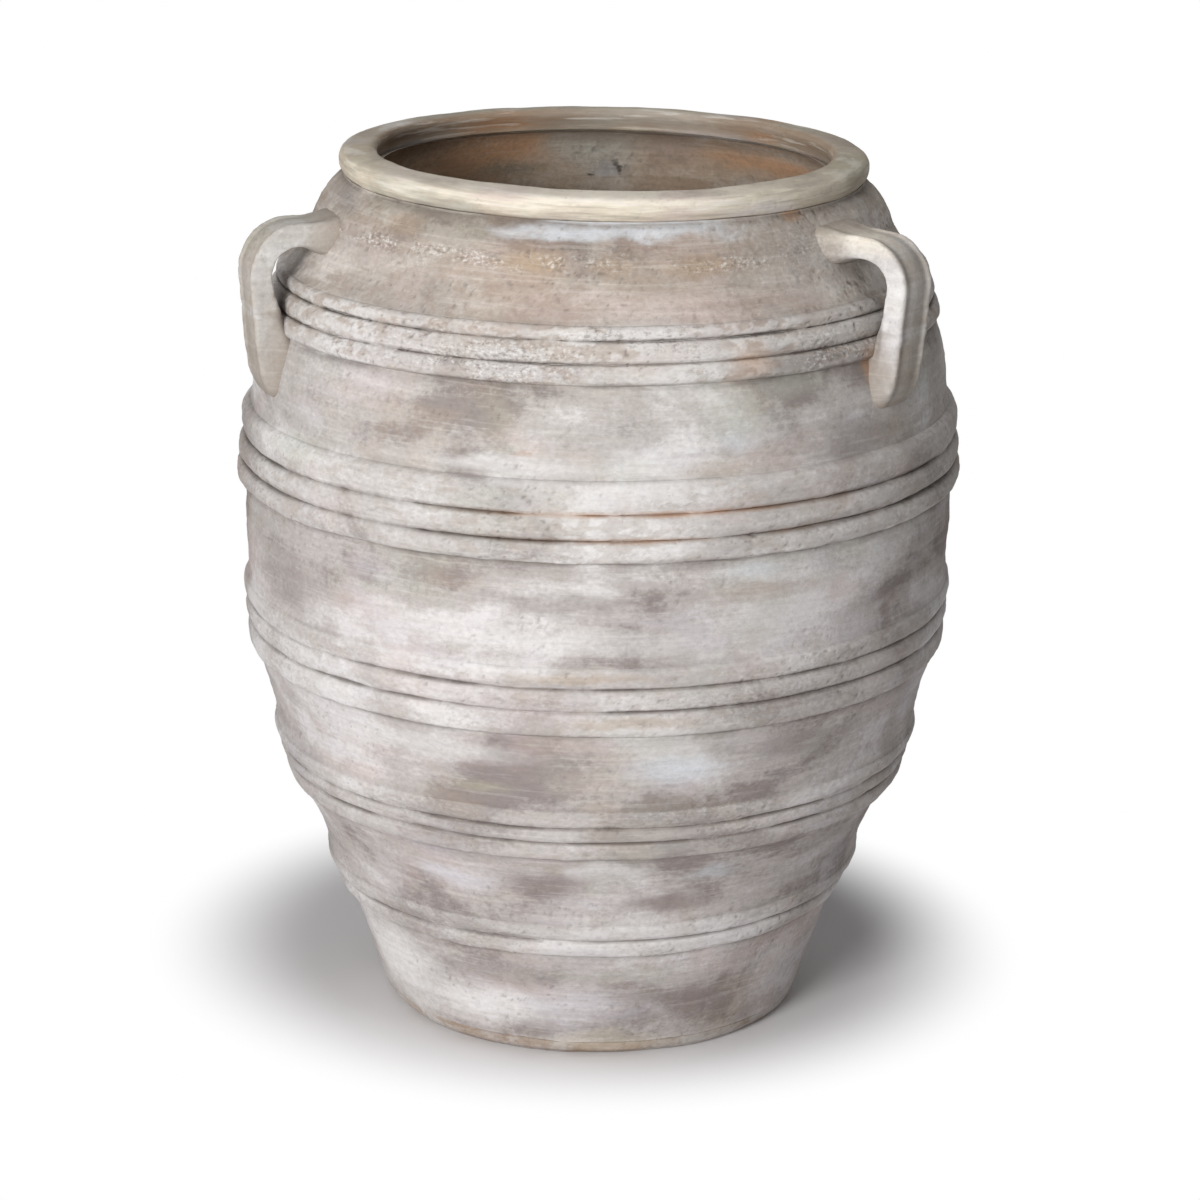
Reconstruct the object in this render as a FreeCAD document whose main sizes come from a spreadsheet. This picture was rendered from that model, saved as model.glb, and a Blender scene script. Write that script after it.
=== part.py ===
import FreeCAD, Part
import math
import os
import Sketcher

# A large Greek storage jar of terracotta, built up in stages on a round base.
# The origin is the centre of the underside, +Z is up and the sizes are in millimetres.
# The photographed side faces -Y. Each wall stage is thrown on the dry edge of the one
# below, on a bevelled joint, and bands of applied clay ropes cover those joints.

sizes = {
    # Base disc, with the cove that the foot wall fills inside
    "base_radius": 193,
    "base_thickness": 26,
    "base_edge": 5,
    "base_joint_height": 14,
    "cove": 30,
    "cove_hollow": 9,
    # Walls
    "wall": 22,
    "joint_bevel": 8,
    # Heights of the plain walls between the bands
    "foot_wall_height": 112,
    "lower_wall_height": 72,
    "middle_wall_height": 72,
    "belly_wall_height": 90,
    "upper_wall_height": 76,
    "shoulder_wall_height": 47,
    "neck_height": 30.3,
    # How much wider the jar grows over each wall and band, and how much narrower above the belly
    "foot_wall_flare": 38,
    "foot_band_flare": 17,
    "lower_wall_flare": 33,
    "lower_band_flare": 15,
    "middle_wall_flare": 20,
    "middle_band_flare": 5.5,
    "belly_wall_flare": 2,
    "belly_band_taper": 7,
    "upper_wall_taper": 14.5,
    "shoulder_band_taper": 15,
    "shoulder_wall_taper": 27.5,
    "neck_taper": 24.5,
    # How far each plain wall curves away from a straight cone
    "lower_wall_hollow": 3.5,
    "middle_wall_hollow": 1.2,
    "belly_wall_bulge": 1.7,
    "upper_wall_bulge": 5,
    "shoulder_wall_hollow": 3.1,
    "neck_bulge": 2.4,
    # Clay ropes of the bands, from the bottom up: each rises over a flank to a low crown
    "rope_flank": 1.8,
    "rope_crown": 1.5,
    "foot_bottom_rope": 18,
    "foot_top_rope": 19,
    "foot_rope_stand": 6,
    "lower_bottom_rope": 18.5,
    "lower_middle_rope": 14.6,
    "lower_top_rope": 19,
    "lower_rope_stand": 6,
    "middle_bottom_rope": 24.5,
    "middle_middle_rope": 20.4,
    "middle_top_rope": 21,
    "middle_rope_stand": 6.5,
    "belly_bottom_rope": 20.4,
    "belly_middle_rope": 22,
    "belly_top_rope": 30,
    "belly_rope_stand": 10,
    "shoulder_bottom_rope": 17.5,
    "shoulder_middle_rope": 18.8,
    "shoulder_top_rope": 13,
    "shoulder_rope_stand": 7.5,
    # Rim
    "rim_height": 24,
    "rim_face_height": 20,
    "rim_face_bulge": 5,
    "rim_overhang": 1,
    "rim_crest_inset": 23,
    "mouth_inset": 32,
    "mouth_edge_drop": 9,
    "mouth_edge_bulge": 2.5,
    "throat_length": 11,
    # Strap handles
    "strap_width": 47,
    "strap_thickness": 24,
    "strap_bead": 9,
    "strap_bead_height": 3,
    "strap_crown": 2,
    "strap_inner_crown": 3,
    "root_width": 74,
    "root_thickness": 34,
    "root_run": 4.5,
    "handle_start_sink": 23.5,
    "handle_gap": 25.5,
    "handle_lean": 10.5,
    "handle_root_sink": 14,
    "handle_top_drop": 9.7,
    "handle_heel_rise": 42.6,
    "handle_root_rise": 5.6,
    "handle_bend": 33,
    "handle_heel_bend": 28,
    "right_handle_lift": 11,
    "left_handle_lift": 0,
    "back_handle_lift": 5,
}

# Radii that follow from the sizes: of the outer wall from the foot up, the rim and the handles
linked_sizes = {
    "foot_top_radius": "=base_radius + foot_wall_flare",
    "lower_start_radius": "=foot_top_radius + foot_band_flare",
    "lower_top_radius": "=lower_start_radius + lower_wall_flare",
    "middle_start_radius": "=lower_top_radius + lower_band_flare",
    "middle_top_radius": "=middle_start_radius + middle_wall_flare",
    "belly_start_radius": "=middle_top_radius + middle_band_flare",
    "belly_top_radius": "=belly_start_radius + belly_wall_flare",
    "upper_start_radius": "=belly_top_radius - belly_band_taper",
    "upper_top_radius": "=upper_start_radius - upper_wall_taper",
    "shoulder_start_radius": "=upper_top_radius - shoulder_band_taper",
    "ridge_radius": "=shoulder_start_radius - shoulder_wall_taper",
    "neck_radius": "=ridge_radius - neck_taper",
    "rim_top_radius": "=neck_radius + rim_overhang",
    "rim_crest_radius": "=neck_radius - rim_crest_inset",
    "mouth_radius": "=neck_radius - mouth_inset",
    "handle_start_radius": "=ridge_radius - handle_start_sink",
    "handle_reach": "=upper_top_radius + handle_gap",
    "root_end_radius": "=handle_reach - handle_bend - root_run",
    "handle_heel_radius": "=handle_reach - handle_lean",
    "handle_root_radius": "=upper_top_radius - handle_root_sink",
}

# Directions that the handles face, in degrees from +X towards +Y
handle_angles = {"right": -36, "left": -160, "back": 82}

# The seam between two wall stages lies this far up the band that covers it
seam_share = 0.5

# How much of the handle root's flare is left halfway along it
flare_share = 0.3

# Two sketch points nearer than this are the same point
same_place = 0.001

doc = FreeCAD.newDocument("Pithos")
sheet = doc.addObject("Spreadsheet::Sheet", "Sizes")
for row, (name, entry) in enumerate({**sizes, **linked_sizes}.items(), start=1):
    sheet.set("A%d" % row, name)
    sheet.set("B%d" % row, str(entry))
    sheet.setAlias("B%d" % row, name)
doc.recompute()


class Length:
    """A length as a number, for the first sketch, and as the expression that drives it."""

    def __init__(self, number, text):
        self.number = number
        self.text = text

    def __add__(self, other):
        return Length(self.number + other.number, "(%s + %s)" % (self.text, other.text))

    def __sub__(self, other):
        return Length(self.number - other.number, "(%s - %s)" % (self.text, other.text))

    def __mul__(self, other):
        if isinstance(other, Length):
            return Length(self.number * other.number, "(%s * %s)" % (self.text, other.text))
        return Length(self.number * other, "(%s * %s)" % (self.text, other))

    def __truediv__(self, other):
        if isinstance(other, Length):
            return Length(self.number / other.number, "(%s / %s)" % (self.text, other.text))
        return Length(self.number / other, "(%s / %s)" % (self.text, other))


def size(name):
    return Length(sheet.get(name), "Sizes." + name)


zero = Length(0, "0")


def origin_plane(body, role):
    for feature in body.Origin.OriginFeatures:
        if feature.Role == role:
            return feature


def new_sketch(body, name, role="XZ_Plane"):
    sketch = body.newObject("Sketcher::SketchObject", name)
    sketch.AttachmentSupport = (origin_plane(body, role), [""])
    sketch.MapMode = "FlatFace"
    return sketch


def vector(point):
    return FreeCAD.Vector(point[0].number, point[1].number, 0)


def bind(sketch, constraint, length):
    index = sketch.addConstraint(constraint)
    sketch.setExpression("Constraints[%d]" % index, length.text)


def pin_point(sketch, place, point):
    """Holds one end of a line or arc at a radius and a level."""
    across, up = point
    if across.number:
        bind(sketch, Sketcher.Constraint("DistanceX", -1, 1, *place, across.number), across)
    else:
        sketch.addConstraint(Sketcher.Constraint("PointOnObject", *place, -2))
    if up.number:
        bind(sketch, Sketcher.Constraint("DistanceY", -1, 1, *place, up.number), up)
    else:
        sketch.addConstraint(Sketcher.Constraint("PointOnObject", *place, -1))


def arc_radius(start, end, sag):
    """Radius of the arc that stands sag away from the middle of its chord."""
    across = end[0] - start[0]
    up = end[1] - start[1]
    return (across * across + up * up) / (sag * 8) + sag / 2


def draw_edge(sketch, start, end, sag, side):
    """Adds a line, or an arc that bows by sag to the right (1) or left (-1) of its run."""
    first, last = vector(start), vector(end)
    if sag is None:
        index = sketch.addGeometry(Part.LineSegment(first, last))
        return (index, 1), (index, 2)
    run = (last - first).normalize()
    middle = (first + last) / 2 + FreeCAD.Vector(run.y, -run.x, 0) * (sag.number * side)
    index = sketch.addGeometry(Part.Arc(first, middle, last))
    bind(sketch, Sketcher.Constraint("Radius", index, arc_radius(start, end, sag).number),
         arc_radius(start, end, sag))
    if sketch.getPoint(index, 1).isEqual(first, same_place):
        return (index, 1), (index, 2)
    return (index, 2), (index, 1)


def draw_outline(sketch, outline):
    """Draws a closed outline of (point, sag, side) rows: sag bows the edge to the next point."""
    ends = []
    for (start, sag, side), (end, _, _) in zip(outline, outline[1:] + outline[:1]):
        ends.append(draw_edge(sketch, start, end, sag, side))
    for (start, sag, side), (place, _), (_, before) in zip(outline, ends, ends[-1:] + ends[:-1]):
        sketch.addConstraint(Sketcher.Constraint("Coincident", *before, *place))
        pin_point(sketch, place, start)


def straight(point):
    return point, None, 1


def turned_body(name, outline):
    """A piece turned on the jar's axis from a half section of radii and levels."""
    body = doc.addObject("PartDesign::Body", name)
    sketch = new_sketch(body, name + "_section")
    draw_outline(sketch, outline)
    turn = body.newObject("PartDesign::Revolution", name + "_turn")
    turn.Profile = sketch
    turn.ReferenceAxis = (sketch, ["V_Axis"])
    turn.Angle = 360
    sketch.Visibility = False
    return body


# Outer corners of the wall, as radius and level, from the base to the rim
base_corner = (size("base_radius"), zero)
foot_top = (size("foot_top_radius"), size("foot_wall_height"))


def corner_above(corner, radius_name, *height_names):
    level = corner[1]
    for height_name in height_names:
        level = level + size(height_name)
    return size(radius_name), level


foot_ropes = ["foot_bottom_rope", "foot_top_rope"]
lower_ropes = ["lower_bottom_rope", "lower_middle_rope", "lower_top_rope"]
middle_ropes = ["middle_bottom_rope", "middle_middle_rope", "middle_top_rope"]
belly_ropes = ["belly_bottom_rope", "belly_middle_rope", "belly_top_rope"]
shoulder_ropes = ["shoulder_bottom_rope", "shoulder_middle_rope", "shoulder_top_rope"]

lower_start = corner_above(foot_top, "lower_start_radius", *foot_ropes)
lower_top = corner_above(lower_start, "lower_top_radius", "lower_wall_height")
middle_start = corner_above(lower_top, "middle_start_radius", *lower_ropes)
middle_top = corner_above(middle_start, "middle_top_radius", "middle_wall_height")
belly_start = corner_above(middle_top, "belly_start_radius", *middle_ropes)
belly_top = corner_above(belly_start, "belly_top_radius", "belly_wall_height")
upper_start = corner_above(belly_top, "upper_start_radius", *belly_ropes)
upper_top = corner_above(upper_start, "upper_top_radius", "upper_wall_height")
shoulder_start = corner_above(upper_top, "shoulder_start_radius", *shoulder_ropes)
ridge = corner_above(shoulder_start, "ridge_radius", "shoulder_wall_height")
neck = corner_above(ridge, "neck_radius", "neck_height")


def inside(corner):
    return corner[0] - size("wall"), corner[1]


def on_cone(low, high, level):
    """The point at a level on the straight wall between two corners."""
    share = (level - low[1]) / (high[1] - low[1])
    return low[0] + (high[0] - low[0]) * share, level


def seam(low, high):
    """Outer and inner corner of the bevelled joint under a band."""
    level = low[1] + (high[1] - low[1]) * seam_share
    outer = on_cone(low, high, level)
    inner = on_cone(inside(low), inside(high), level + size("joint_bevel"))
    return outer, inner


foot_seam = seam(foot_top, lower_start)
lower_seam = seam(lower_top, middle_start)
middle_seam = seam(middle_top, belly_start)
belly_seam = seam(belly_top, upper_start)
shoulder_seam = seam(upper_top, shoulder_start)


def build_base():
    rise = on_cone(base_corner, foot_top, size("base_joint_height"))
    seat = inside(on_cone(base_corner, foot_top, size("base_thickness")))
    edge_in = (size("base_radius") - size("base_edge"), zero)
    edge_up = on_cone(base_corner, foot_top, size("base_edge"))
    outline = [
        straight((zero, zero)),
        straight(edge_in),
        straight(edge_up),
        straight(rise),
        straight(seat),
        straight((zero, size("base_thickness"))),
    ]
    turned_body("base_disc", outline)


def build_foot_wall():
    rise = on_cone(base_corner, foot_top, size("base_joint_height"))
    seat = inside(on_cone(base_corner, foot_top, size("base_thickness")))
    cove_low = (seat[0] - size("cove"), size("base_thickness"))
    cove_high = inside(on_cone(base_corner, foot_top, size("base_thickness") + size("cove")))
    outer, inner = foot_seam
    outline = [
        straight(rise),
        straight(foot_top),
        straight(outer),
        straight(inner),
        straight(inside(foot_top)),
        (cove_high, size("cove_hollow"), -1),
        straight(cove_low),
        straight(seat),
    ]
    turned_body("foot_wall", outline)


def build_wall(name, low_seam, start, top, high_seam, sag, side):
    """A wall stage between two seams, curved outside from start to top and plain inside."""
    outline = [
        straight(low_seam[0]),
        (start, sag, side),
        straight(top),
        straight(high_seam[0]),
        straight(high_seam[1]),
        straight(inside(top)),
        straight(inside(start)),
        straight(low_seam[1]),
    ]
    turned_body(name, outline)


def build_shoulder_wall():
    hollow, bulge = size("shoulder_wall_hollow"), size("neck_bulge")
    outline = [
        straight(shoulder_seam[0]),
        (shoulder_start, hollow, -1),
        (ridge, bulge, 1),
        straight(neck),
        straight(inside(neck)),
        straight(inside(ridge)),
        straight(inside(shoulder_start)),
        straight(shoulder_seam[1]),
    ]
    turned_body("shoulder_wall", outline)


def build_rim():
    top = neck[1] + size("rim_height")
    throat_top = top - size("mouth_edge_drop")
    outline = [
        (neck, size("rim_face_bulge"), 1),
        straight((size("rim_top_radius"), neck[1] + size("rim_face_height"))),
        ((size("rim_crest_radius"), top), size("mouth_edge_bulge"), 1),
        straight((size("mouth_radius"), throat_top)),
        straight((size("mouth_radius"), throat_top - size("throat_length"))),
        straight(inside(neck)),
    ]
    turned_body("rim", outline)


def build_band(name, low, high, rope_names, stand):
    """Clay ropes laid side by side on the straight wall between two corners."""
    level = low[1]
    for rope_name in rope_names:
        top = level + size(rope_name)
        seat_low, seat_high = on_cone(low, high, level), on_cone(low, high, top)
        place = rope_name.split("_")[1]
        flank_rise = stand - size("rope_crown")
        crest_low = (seat_low[0] + flank_rise, level + size("rope_flank"))
        crest_high = (seat_high[0] + flank_rise, top - size("rope_flank"))
        outline = [
            straight(seat_low),
            (crest_low, size("rope_crown"), 1),
            straight(crest_high),
            straight(seat_high),
        ]
        turned_body("%s_band_%s_rope" % (name, place), outline)
        level = top


def corner_arc(before, corner, after, bend):
    """Start, middle and end of the arc that rounds a corner, for the first sketch."""
    back, on = (before - corner).normalize(), (after - corner).normalize()
    half = back.getAngle(on) / 2
    reach = bend / math.tan(half)
    inward = (back + on).normalize()
    middle = corner + inward * (bend / math.sin(half) - bend)
    return corner + back * reach, middle, corner + on * reach


def draw_strap_path(sketch, lift):
    """Out from the end of the flared root, down in front of the band and in at the heel."""
    top_level = ridge[1] - size("handle_top_drop") + lift
    heel_level = upper_start[1] + size("handle_heel_rise") + lift
    root_level = upper_start[1] + size("handle_root_rise") + lift
    corners = [
        (size("root_end_radius"), top_level),
        (size("handle_reach"), top_level),
        (size("handle_heel_radius"), heel_level),
        (size("handle_root_radius"), root_level),
    ]
    bends = [size("handle_bend"), size("handle_heel_bend")]
    spots = [vector(corner) for corner in corners]
    runs, arcs = [], []
    start = spots[0]
    for number, bend in enumerate(bends, start=1):
        first, middle, last = corner_arc(*spots[number - 1:number + 2], bend.number)
        runs.append(sketch.addGeometry(Part.LineSegment(start, first)))
        arcs.append(sketch.addGeometry(Part.Arc(first, middle, last)))
        start = last
    runs.append(sketch.addGeometry(Part.LineSegment(start, spots[-1])))
    for number, (arc, bend) in enumerate(zip(arcs, bends)):
        end = sketch.getPoint(runs[number], 2)
        near, far = (1, 2) if sketch.getPoint(arc, 1).isEqual(end, same_place) else (2, 1)
        sketch.addConstraint(Sketcher.Constraint("Tangent", runs[number], 2, arc, near))
        sketch.addConstraint(Sketcher.Constraint("Tangent", arc, far, runs[number + 1], 1))
        bind(sketch, Sketcher.Constraint("Radius", arc, bend.number), bend)
    pin_point(sketch, (runs[0], 1), corners[0])
    pin_point(sketch, (runs[-1], 2), corners[-1])
    for number in range(len(bends)):
        knee = sketch.addGeometry(Part.Point(spots[number + 1]), True)
        pin_point(sketch, (knee, 1), corners[number + 1])
        for run in runs[number:number + 2]:
            sketch.addConstraint(Sketcher.Constraint("PointOnObject", knee, 1, run))
    return top_level


def draw_strap_section(sketch, level, width, thickness):
    """A strap with a bead along each edge, a groove inside each bead and a low crown."""
    half = width / 2
    bead_in = half - size("strap_bead")
    low = level - thickness / 2 + size("strap_inner_crown")
    high = level + thickness / 2 - size("strap_bead_height")
    left, left_in = zero - half, zero - bead_in
    bead = size("strap_bead_height")
    rows = [
        ((left, low), size("strap_inner_crown")),
        ((half, low), None),
        ((half, high), bead),
        ((bead_in, high), size("strap_crown")),
        ((left_in, high), bead),
        ((left, high), None),
    ]
    draw_outline(sketch, [(point, sag, 1) for point, sag in rows])


def strap_section(body, use, radius, level, width, thickness):
    """A section of the strap on a plane square to its level first run."""
    sketch = new_sketch(body, "%s_%s" % (body.Name, use), "YZ_Plane")
    sketch.setExpression("AttachmentOffset.Base.z", radius.text)
    draw_strap_section(sketch, level, width, thickness)
    return sketch


def draw_wall_envelope(sketch):
    """Everything inside the outer wall from the belly band to the neck."""
    outline = [
        straight((zero, belly_top[1])),
        straight(belly_top),
        (upper_start, size("upper_wall_bulge"), 1),
        straight(upper_top),
        (shoulder_start, size("shoulder_wall_hollow"), -1),
        (ridge, size("neck_bulge"), 1),
        straight(neck),
        straight((zero, neck[1])),
    ]
    draw_outline(sketch, outline)


def build_handle(place, angle, lift):
    """A flared root and a strap swept down from it, both cut to seat on the wall."""
    name = place + "_handle"
    body = doc.addObject("PartDesign::Body", name)
    path = new_sketch(body, name + "_path")
    top_level = draw_strap_path(path, lift)
    slim = (size("strap_width"), size("strap_thickness"))
    broad = (size("root_width"), size("root_thickness"))
    halfway = [thin * (1 - flare_share) + wide * flare_share for thin, wide in zip(slim, broad)]
    root_start, root_end = size("handle_start_radius"), size("root_end_radius")
    root_wide = strap_section(body, "root_wide", root_start, top_level, *broad)
    root_mid = strap_section(body, "root_middle", (root_start + root_end) / 2, top_level, *halfway)
    root_slim = strap_section(body, "root_narrow", root_end, top_level, *slim)
    doc.recompute()
    strap = body.newObject("PartDesign::AdditivePipe", name + "_strap")
    strap.Profile = root_slim
    strap.Spine = (path, ["Edge%d" % number for number in range(1, 6)])
    root = body.newObject("PartDesign::AdditiveLoft", name + "_root")
    root.Profile = root_wide
    root.Sections = [root_mid, root_slim]
    envelope = new_sketch(body, name + "_seat")
    draw_wall_envelope(envelope)
    seat = body.newObject("PartDesign::Groove", name + "_seats")
    seat.Profile = envelope
    seat.ReferenceAxis = (envelope, ["V_Axis"])
    seat.Angle = 360
    body.Placement = FreeCAD.Placement(
        FreeCAD.Vector(), FreeCAD.Rotation(FreeCAD.Vector(0, 0, 1), angle))


build_base()
build_foot_wall()
build_wall("lower_wall", foot_seam, lower_start, lower_top, lower_seam,
           size("lower_wall_hollow"), -1)
build_wall("middle_wall", lower_seam, middle_start, middle_top, middle_seam,
           size("middle_wall_hollow"), -1)
build_wall("belly_wall", middle_seam, belly_start, belly_top, belly_seam,
           size("belly_wall_bulge"), 1)
build_wall("upper_wall", belly_seam, upper_start, upper_top, shoulder_seam,
           size("upper_wall_bulge"), 1)
build_shoulder_wall()
build_rim()
build_band("foot", foot_top, lower_start, foot_ropes, size("foot_rope_stand"))
build_band("lower", lower_top, middle_start, lower_ropes, size("lower_rope_stand"))
build_band("middle", middle_top, belly_start, middle_ropes, size("middle_rope_stand"))
build_band("belly", belly_top, upper_start, belly_ropes, size("belly_rope_stand"))
build_band("shoulder", upper_top, shoulder_start, shoulder_ropes, size("shoulder_rope_stand"))
for place, angle in handle_angles.items():
    build_handle(place, angle, size(place + "_handle_lift"))

doc.recompute()
for item in doc.Objects:
    if "Invalid" in item.State or "Error" in item.State:
        raise RuntimeError("%s failed: %s" % (item.Name, item.State))

os.makedirs("parts", exist_ok=True)
for body in doc.findObjects("PartDesign::Body"):
    shape = body.Shape
    if shape.isNull() or not shape.isValid() or len(shape.Solids) != 1:
        raise RuntimeError("%s is not one valid solid" % body.Label)
    shape.exportStep(os.path.join("parts", body.Label + ".step"))
    print("%-28s %10.0f mm3" % (body.Label, shape.Volume))
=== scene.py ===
import math

import bmesh
import bpy
import numpy as np
from mathutils import Matrix, Vector


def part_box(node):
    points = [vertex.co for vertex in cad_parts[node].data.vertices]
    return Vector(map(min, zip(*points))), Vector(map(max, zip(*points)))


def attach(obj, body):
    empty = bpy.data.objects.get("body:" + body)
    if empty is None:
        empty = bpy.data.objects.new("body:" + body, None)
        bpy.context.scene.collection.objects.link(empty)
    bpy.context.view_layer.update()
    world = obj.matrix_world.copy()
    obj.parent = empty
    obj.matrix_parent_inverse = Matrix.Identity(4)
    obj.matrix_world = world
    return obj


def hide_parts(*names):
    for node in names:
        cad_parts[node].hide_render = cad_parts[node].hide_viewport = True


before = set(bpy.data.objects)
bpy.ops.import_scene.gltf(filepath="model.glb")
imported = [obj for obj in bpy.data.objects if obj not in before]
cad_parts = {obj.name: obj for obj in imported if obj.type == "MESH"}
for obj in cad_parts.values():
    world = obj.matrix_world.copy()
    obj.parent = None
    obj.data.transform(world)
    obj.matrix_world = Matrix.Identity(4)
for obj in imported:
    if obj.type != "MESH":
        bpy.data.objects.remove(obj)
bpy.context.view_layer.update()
print("frame:", len(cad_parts), "nodes")

# Everything is in metres. The jar stands on z = 0 and its photographed side faces -Y.

frameWeld = 1e-6  # the frame's meshes are joined where points lie nearer than this
seamWeld = 1e-5   # closes a turned grid where it meets itself
nearAxis = 1e-4   # points nearer to the axis than this lie on it


# Node trees, in shaders and in geometry

class Wire:  # a socket that can stand in a sum
    def __init__(self, graph, socket):
        self.graph = graph
        self.socket = socket

    def sum(self, operation, *values):
        return self.graph.add("ShaderNodeMath", {"operation": operation}, dict(enumerate(values)))

    def __add__(self, other):
        return self.sum("ADD", self, other)

    def __sub__(self, other):
        return self.sum("SUBTRACT", self, other)

    def __rsub__(self, other):
        return self.sum("SUBTRACT", other, self)

    def __mul__(self, other):
        return self.sum("MULTIPLY", self, other)

    def __truediv__(self, other):
        return self.sum("DIVIDE", self, other)

    def __mod__(self, other):
        return self.sum("MODULO", self, other)

    def most(self, other):
        return self.sum("MAXIMUM", self, other)

    def least(self, other):
        return self.sum("MINIMUM", self, other)

    def fade(self, low, high):  # 0 below low, 1 above high, smooth between; low may be the larger
        settings = {"interpolation_type": "SMOOTHSTEP"}
        ends = {"Value": self, "From Min": low, "From Max": high}
        return self.graph.add("ShaderNodeMapRange", settings, ends)

    def out(self, name):  # another socket of the same node
        return Wire(self.graph, self.socket.node.outputs[name])


class Graph:
    def __init__(self, tree):
        self.tree = tree

    def add(self, kind, settings=None, sockets=None, out=0):
        node = self.tree.nodes.new(kind)
        for name, value in (settings or {}).items():
            setattr(node, name, value)
        for name, value in (sockets or {}).items():
            if isinstance(value, Wire):
                self.tree.links.new(value.socket, node.inputs[name])
            else:
                node.inputs[name].default_value = value
        return Wire(self, node.outputs[out]) if len(node.outputs) else node

    def vector(self, operation, *values):
        return self.add("ShaderNodeVectorMath", {"operation": operation}, dict(enumerate(values)))

    def noise(self, place, scale, detail=2.0, seed=0.0, rough=0.55, bend=0.0):
        # scale is one number, or three that stretch the pattern
        stretch = scale if isinstance(scale, tuple) else (scale, scale, scale)
        shift = (seed * 1.7, seed * 2.3, seed * 3.1)
        spot = self.vector("MULTIPLY_ADD", place, stretch, shift)
        values = {"Vector": spot, "Scale": 1.0, "Detail": detail, "Roughness": rough,
                  "Distortion": bend}
        return self.add("ShaderNodeTexNoise", {"noise_dimensions": "3D"}, values)

    def part(self, place, axis):
        return self.add("ShaderNodeSeparateXYZ", None, {0: place}).out(axis)

    def joined(self, x=0.0, y=0.0, z=0.0):
        return self.add("ShaderNodeCombineXYZ", None, {0: x, 1: y, 2: z})

    def carried(self, name):  # a value that each point of the mesh carries
        return self.add("GeometryNodeInputNamedAttribute", {"data_type": "FLOAT"}, {"Name": name})

    def carry(self, piece, name, value):
        settings = {"data_type": "FLOAT", "domain": "POINT"}
        sockets = {"Geometry": piece, "Name": name, "Value": value}
        return self.add("GeometryNodeStoreNamedAttribute", settings, sockets)

    def sample(self, section, value, row, kind="FLOAT"):
        settings = {"data_type": kind, "domain": "POINT"}
        sockets = {"Geometry": section, "Value": value, "Index": row}
        return self.add("GeometryNodeSampleIndex", settings, sockets)


def addObject(name, data):
    made = bpy.data.objects.new(name, data)
    bpy.context.scene.collection.objects.link(made)
    return made


def carryValues(mesh, key, values):
    kept = mesh.attributes.new(key, "FLOAT", "POINT")
    kept.data.foreach_set("value", np.ascontiguousarray(values, np.float32))


# The jar's outline, read from the frame

def halfSection(nodeName):
    # the outline of a turned node where the XZ plane cuts its right-hand side, anticlockwise
    mesh = bmesh.new()
    mesh.from_mesh(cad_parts[nodeName].data)
    bmesh.ops.remove_doubles(mesh, verts=mesh.verts, dist=frameWeld)
    geometry = [*mesh.verts, *mesh.edges, *mesh.faces]
    cut = bmesh.ops.bisect_plane(
        mesh, geom=geometry, plane_co=(0, 0, 0), plane_no=(0, 1, 0), dist=frameWeld)
    nextTo = {}
    for edge in cut["geom_cut"]:
        if not isinstance(edge, bmesh.types.BMEdge) or min(v.co.x for v in edge.verts) < nearAxis:
            continue
        ends = [(round(v.co.x, 6), round(v.co.z, 6)) for v in edge.verts]
        nextTo.setdefault(ends[0], []).append(ends[1])
        nextTo.setdefault(ends[1], []).append(ends[0])
    mesh.free()
    openEnds = [point for point, others in nextTo.items() if len(others) == 1]
    outline = [min(openEnds, key=lambda point: point[1]) if openEnds else next(iter(nextTo))]
    before = None
    while True:
        ahead = [point for point in nextTo[outline[-1]] if point != before]
        if not ahead or ahead[0] == outline[0]:
            break
        before = outline[-1]
        outline.append(ahead[0])
    points = np.array(outline)
    turned = np.roll(points, -1, axis=0)
    if not openEnds and (points[:, 0] * turned[:, 1] - turned[:, 0] * points[:, 1]).sum() < 0:
        points = points[::-1]
    return points, bool(openEnds)


def respace(points, step):  # evenly spaced points along a run, its ends kept
    lengths = np.hypot(*np.diff(points, axis=0).T)
    run = np.concatenate([[0], np.cumsum(lengths)])
    count = max(2, int(round(run[-1] / step)) + 1)
    stops = np.linspace(0, run[-1], count)
    return np.column_stack([np.interp(stops, run, points[:, axis]) for axis in (0, 1)])


def soften(points, passes):  # rounds the corners inside a run
    points = points.copy()
    for _ in range(passes):
        points[1:-1] = points[1:-1] / 2 + (points[:-2] + points[2:]) / 4
    return points


bandNames = {
    "foot": ["bottom", "top"],
    "lower": ["bottom", "middle", "top"],
    "middle": ["bottom", "middle", "top"],
    "belly": ["bottom", "middle", "top"],
    "shoulder": ["bottom", "middle", "top"],
}
bandLevels = []  # where each band starts and ends
for band, places in bandNames.items():
    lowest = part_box("%s_band_%s_rope" % (band, places[0]))[0].z
    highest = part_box("%s_band_%s_rope" % (band, places[-1]))[1].z
    bandLevels.append((lowest, highest))
# the rim's underside also gets the painted shadow that lies under each band
bandLevels.append((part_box("rim")[0].z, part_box("rim")[1].z))


# Thrown walls, rim and floor: one tree turns a half section and works its surface

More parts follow.
